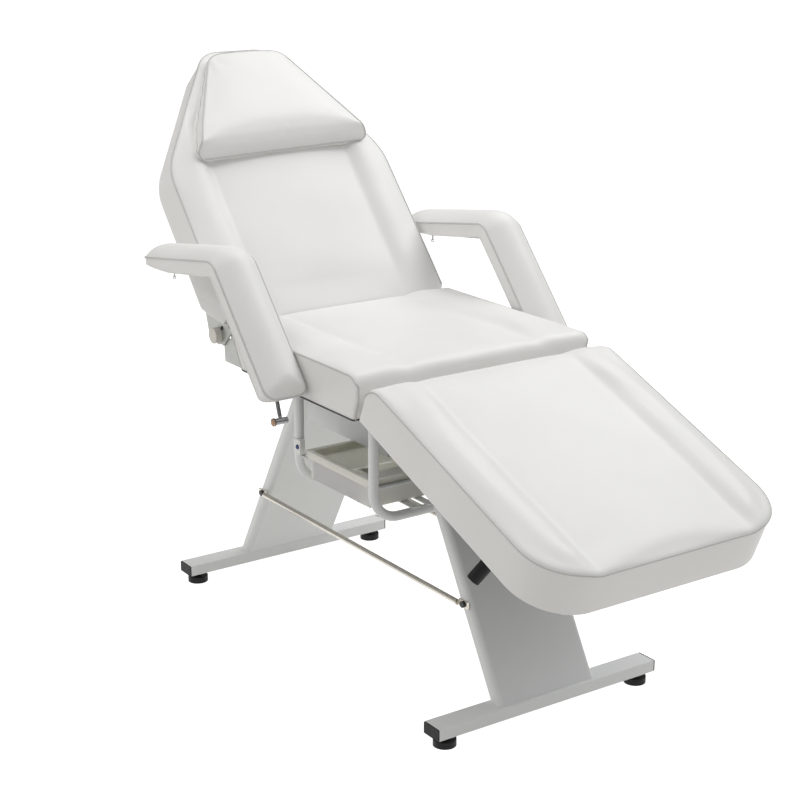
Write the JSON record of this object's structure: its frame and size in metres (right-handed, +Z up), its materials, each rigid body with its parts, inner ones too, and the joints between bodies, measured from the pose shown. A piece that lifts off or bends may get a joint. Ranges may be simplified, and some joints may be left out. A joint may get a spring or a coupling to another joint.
{
  "type": "hydraulic massage table",
  "caption": "Padded treatment table with a reclining back, tilting leg rest, swinging arm rests, head pillow and sliding trays on a leaning steel base.",
  "frame": {"origin": "on the floor under the middle of the table", "axes": "+X towards the foot end, +Y to the left of a person sitting on it, +Z up"},
  "size_m": [1.6752, 0.808, 1.2503],
  "materials": {
    "white_steel": "white powder coat",
    "upholstery": "smooth white synthetic leather",
    "plywood": "raw plywood",
    "black_cloth": "black non-woven dust cloth",
    "zinc_steel": "zinc-plated sheet",
    "dark_steel": "blackened pins and bolts",
    "plated_steel": "bright plated rod",
    "black_steel": "black satin paint",
    "bright_metal": "polished chrome",
    "tray_plastic": "moulded white plastic",
    "white_plastic": "white plastic",
    "black_plastic": "black moulded plastic"
  },
  "bodies": {
    "base": {"front_foot_bar": "white_steel", "rear_foot_bar": "white_steel", "foot_bar_end_caps": "black_plastic", "front_leg": "white_steel", "rear_leg": "white_steel", "strut_lower_pins": "dark_steel", "tie_rods": "plated_steel", "tie_rod_bolts": "dark_steel", "chassis_plate": "white_steel", "centre_box": "white_steel", "tray_hoops": "white_steel", "tray_support_bars": "white_steel", "tray_runners": "white_steel", "tray_clips": "white_plastic", "seat_frame_rails": "white_steel", "seat_cross_tubes": "white_steel", "seat_board": "plywood", "seat_cushion": "upholstery", "seat_underside_cloth": "black_cloth", "seat_hinge_plates": "zinc_steel", "arm_stubs": "white_steel"},
    "backrest": {"back_hinge_plates": "zinc_steel", "back_hinge_pins": "dark_steel", "back_plate_caps": "white_plastic", "back_frame_rails": "white_steel", "back_cross_tubes": "white_steel", "back_board": "plywood", "back_cushion": "upholstery", "back_underside_cloth": "black_cloth", "head_pillow": "upholstery"},
    "leg_rest": {"leg_frame_rails": "white_steel", "leg_cross_tubes": "white_steel", "leg_board": "plywood", "leg_rest_cushion": "upholstery", "leg_underside_cloth": "black_cloth", "leg_hinge_pins": "dark_steel"},
    "back_strut_cylinder": {"back_strut_cylinder": "black_steel"},
    "back_strut_rod": {"back_strut_rod": "plated_steel"},
    "leg_strut_cylinder": {"leg_strut_cylinder": "black_steel"},
    "leg_strut_rod": {"leg_strut_rod": "plated_steel"},
    "back_lever": {"back_release_lever": "plated_steel", "back_lever_grip": "black_plastic"},
    "leg_lever": {"leg_release_lever": "plated_steel", "leg_lever_grip": "black_plastic"},
    "near_arm": {"near_arm_pad": "upholstery", "near_arm_core": "zinc_steel", "near_zip_slider": "bright_metal"},
    "far_arm": {"far_arm_pad": "upholstery", "far_arm_core": "zinc_steel", "far_zip_slider": "bright_metal"},
    "near_arm_screw": {"near_arm_screw": "bright_metal"},
    "far_arm_screw": {"far_arm_screw": "bright_metal"},
    "near_zip_pull": {"near_zip_pull": "bright_metal"},
    "far_zip_pull": {"far_zip_pull": "bright_metal"},
    "near_tray": {"near_tray": "tray_plastic"},
    "far_tray": {"far_tray": "tray_plastic"},
    "front_near_levelling_foot": {"front_near_levelling_foot": "black_plastic"},
    "front_far_levelling_foot": {"front_far_levelling_foot": "black_plastic"},
    "rear_near_levelling_foot": {"rear_near_levelling_foot": "black_plastic"},
    "rear_far_levelling_foot": {"rear_far_levelling_foot": "black_plastic"}
  },
  "joints": [
    {"name": "back_recline", "type": "hinge", "parent": "base", "child": "backrest", "pos_m": [-0.315, 0, 0.703], "axis": [0, 1, 0], "range_deg": [-49.3, 23]},
    {"name": "leg_rest_tilt", "type": "hinge", "parent": "base", "child": "leg_rest", "pos_m": [0.2338, 0, 0.632], "axis": [0, 1, 0], "range_deg": [-21.7, 23.3]},
    {"name": "back_cylinder_swing", "type": "hinge", "parent": "base", "child": "back_strut_cylinder", "pos_m": [-0.278, 0, 0.49], "axis": [0, 1, 0], "range_deg": [-25, 13]},
    {"name": "back_rod_swing", "type": "hinge", "parent": "backrest", "child": "back_strut_rod", "pos_m": [-0.5158, 0, 0.7831], "axis": [0, 1, 0], "range_deg": [-13, 25]},
    {"name": "leg_cylinder_swing", "type": "hinge", "parent": "base", "child": "leg_strut_cylinder", "pos_m": [0.132, 0, 0.5], "axis": [0, 1, 0], "range_deg": [-11, 12]},
    {"name": "leg_rod_swing", "type": "hinge", "parent": "leg_rest", "child": "leg_strut_rod", "pos_m": [0.37665, 0, 0.54609], "axis": [0, 1, 0], "range_deg": [-12, 11]},
    {"name": "back_lever_turn", "type": "hinge", "parent": "backrest", "child": "back_lever", "pos_m": [-0.5872, 0, 0.86458], "axis": [0, 1, 0], "range_deg": [0, 15], "stiffness_Nm_per_rad": 3, "springref_deg": -17.19},
    {"name": "leg_lever_turn", "type": "hinge", "parent": "leg_rest", "child": "leg_lever", "pos_m": [0.5349, 0, 0.47989], "axis": [0, 1, 0], "range_deg": [0, 15], "stiffness_Nm_per_rad": 3, "springref_deg": -17.19},
    {"name": "near_arm_swing", "type": "hinge", "parent": "base", "child": "near_arm", "pos_m": [0.019, 0, 0.647], "axis": [0, 1, 0], "range_deg": [-49.3, 8]},
    {"name": "far_arm_swing", "type": "hinge", "parent": "base", "child": "far_arm", "pos_m": [0.019, 0, 0.647], "axis": [0, 1, 0], "range_deg": [-49.3, 8]},
    {"name": "near_arm_screw_turn", "type": "hinge", "parent": "near_arm", "child": "near_arm_screw", "pos_m": [0.019, -0.369, 0.647], "axis": [0.3159, 0, -0.9488], "range_deg": [0, 180]},
    {"name": "far_arm_screw_turn", "type": "hinge", "parent": "far_arm", "child": "far_arm_screw", "pos_m": [0.019, 0.369, 0.647], "axis": [0.3159, 0, -0.9488], "range_deg": [0, 180]},
    {"name": "near_zip_pull_swing", "type": "hinge", "parent": "near_arm", "child": "near_zip_pull", "pos_m": [-0.43943, -0.354, 0.81872], "axis": [0, 1, 0], "range_deg": [-40, 40]},
    {"name": "far_zip_pull_swing", "type": "hinge", "parent": "far_arm", "child": "far_zip_pull", "pos_m": [-0.43943, 0.354, 0.81872], "axis": [0, 1, 0], "range_deg": [-40, 40]},
    {"name": "near_tray_slide", "type": "slide", "parent": "base", "child": "near_tray", "axis": [0, -1, 0], "range_m": [0, 0.2]},
    {"name": "far_tray_slide", "type": "slide", "parent": "base", "child": "far_tray", "axis": [0, 1, 0], "range_m": [0, 0.2]},
    {"name": "front_near_levelling_foot_adjust", "type": "slide", "parent": "base", "child": "front_near_levelling_foot", "axis": [0, 0, -1], "range_m": [0, 0.01]},
    {"name": "front_far_levelling_foot_adjust", "type": "slide", "parent": "base", "child": "front_far_levelling_foot", "axis": [0, 0, -1], "range_m": [0, 0.01]},
    {"name": "rear_near_levelling_foot_adjust", "type": "slide", "parent": "base", "child": "rear_near_levelling_foot", "axis": [0, 0, -1], "range_m": [0, 0.01]},
    {"name": "rear_far_levelling_foot_adjust", "type": "slide", "parent": "base", "child": "rear_far_levelling_foot", "axis": [0, 0, -1], "range_m": [0, 0.01]}
  ],
  "couplings": [
    {"joint": "back_cylinder_swing", "follows": "back_recline", "ratio": 0.5},
    {"joint": "back_rod_swing", "follows": "back_recline", "ratio": -0.5},
    {"joint": "leg_cylinder_swing", "follows": "leg_rest_tilt", "ratio": 0.5},
    {"joint": "leg_rod_swing", "follows": "leg_rest_tilt", "ratio": -0.5}
  ]
}
